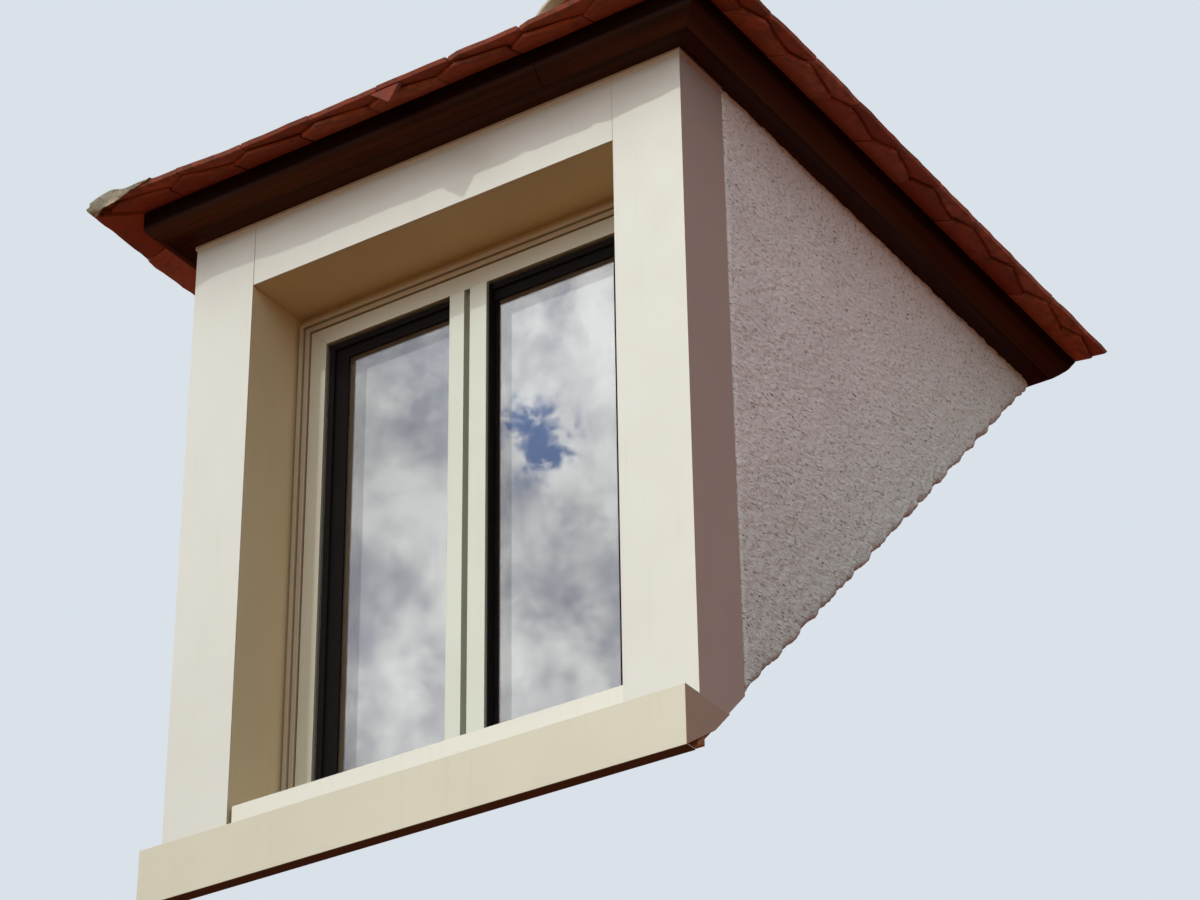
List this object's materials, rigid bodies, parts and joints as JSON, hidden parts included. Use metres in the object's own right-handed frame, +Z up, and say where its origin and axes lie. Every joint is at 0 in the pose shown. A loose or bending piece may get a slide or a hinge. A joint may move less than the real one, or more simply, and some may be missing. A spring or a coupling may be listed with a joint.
{
  "type": "dormer window",
  "caption": "Dormer window with a hipped clay-tile roof, cream metal-clad pilasters, sill and reveals, a two-leaf casement, roughcast triangular cheeks and a dark timber cornice.",
  "frame": {"origin": "middle of the front sole plate's underside, in the plane of the main roof that the dormer is seated on", "axes": "+Z up, +Y into the roof (the window faces -Y), +X to the right seen from outside; the seat plane is z = y, pitched at 45 degrees"},
  "size_m": [1.476, 2.351, 2.211],
  "materials": {
    "cream_cladding": "satin lacquer",
    "cream_window": "satin lacquer",
    "window_glass": "clear double glazing",
    "black_gasket": "matt",
    "stained_timber": "dark red-brown stain",
    "raw_timber": "sawn",
    "roof_boards": "sawn boards",
    "cheek_board": "pressed strand board",
    "roughcast": "roughcast render",
    "clay_tile": "matt fired clay",
    "lime_mortar": "trowelled mortar",
    "handle_metal": "satin"
  },
  "bodies": {
    "root": {"right_pilaster_cladding": "cream_cladding", "left_pilaster_cladding": "cream_cladding", "lintel_cladding": "cream_cladding", "cap_strip": "cream_cladding", "reveal_linings": "cream_cladding", "sill_apron": "cream_cladding", "window_sill": "cream_cladding", "window_trim": "cream_window", "front_posts": "raw_timber", "head_beam": "raw_timber", "sill_beam": "raw_timber", "front_sole_plate": "raw_timber", "window_subframe": "raw_timber", "side_sole_plates": "raw_timber", "cheek_studs": "raw_timber", "cheek_boards": "cheek_board", "right_cheek_render": "roughcast", "left_cheek_render": "roughcast", "front_wall_plate": "stained_timber", "right_wall_plate": "stained_timber", "left_wall_plate": "stained_timber", "cornice_moulding": "stained_timber", "ridge_board": "raw_timber", "hip_rafters": "raw_timber", "right_rafters": "raw_timber", "left_rafters": "raw_timber", "front_rafters": "raw_timber", "right_boarding": "roof_boards", "left_boarding": "roof_boards", "front_boarding": "roof_boards", "valley_boards": "roof_boards", "right_slope_tiles": "clay_tile", "left_slope_tiles": "clay_tile", "front_slope_tiles": "clay_tile", "ridge_tiles": "clay_tile", "ridge_mortar": "lime_mortar", "hip_mortar": "lime_mortar", "window_frame": "cream_window", "right_sash": "cream_window", "left_sash": "cream_window", "right_glass": "window_glass", "left_glass": "window_glass", "glazing_gaskets": "black_gasket", "window_handle": "handle_metal"}
  },
  "joints": []
}
